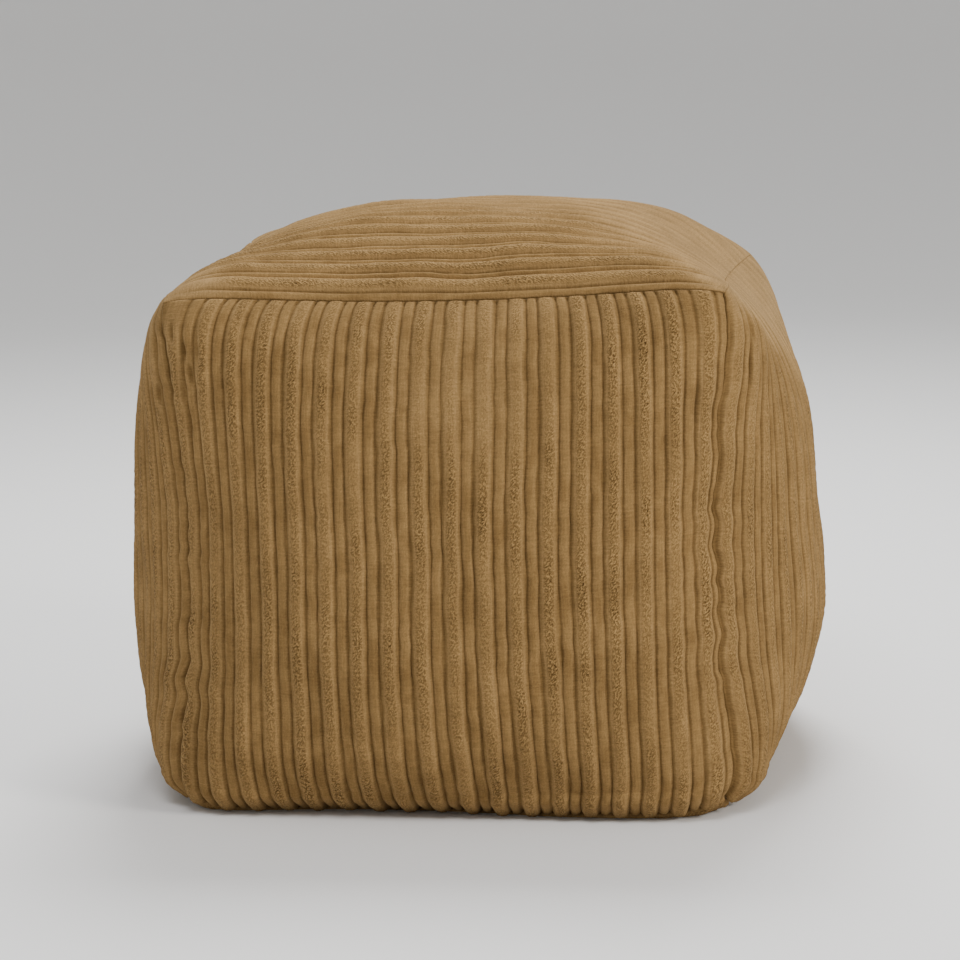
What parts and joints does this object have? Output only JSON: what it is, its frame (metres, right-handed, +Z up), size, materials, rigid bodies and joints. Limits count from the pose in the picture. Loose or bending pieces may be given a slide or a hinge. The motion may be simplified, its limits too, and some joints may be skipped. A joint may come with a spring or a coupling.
{
  "type": "bean bag footstool",
  "caption": "Soft filled cube footstool sewn from ribbed corduroy panels, with crowned faces, drawn-in seams and a flat base.",
  "frame": {"origin": "middle of the flat base, on the surface that the footstool stands on", "axes": "+Z up through the top panel, -Y out of the front panel, +X towards the right side panel"},
  "size_m": [0.516, 0.4925, 0.4197],
  "materials": {
    "corduroy": "matt plush jumbo corduroy, camel tan"
  },
  "bodies": {
    "root": {"front_panel": "corduroy", "back_panel": "corduroy", "left_panel": "corduroy", "right_panel": "corduroy", "top_panel": "corduroy", "base_panel": "corduroy"}
  },
  "joints": []
}
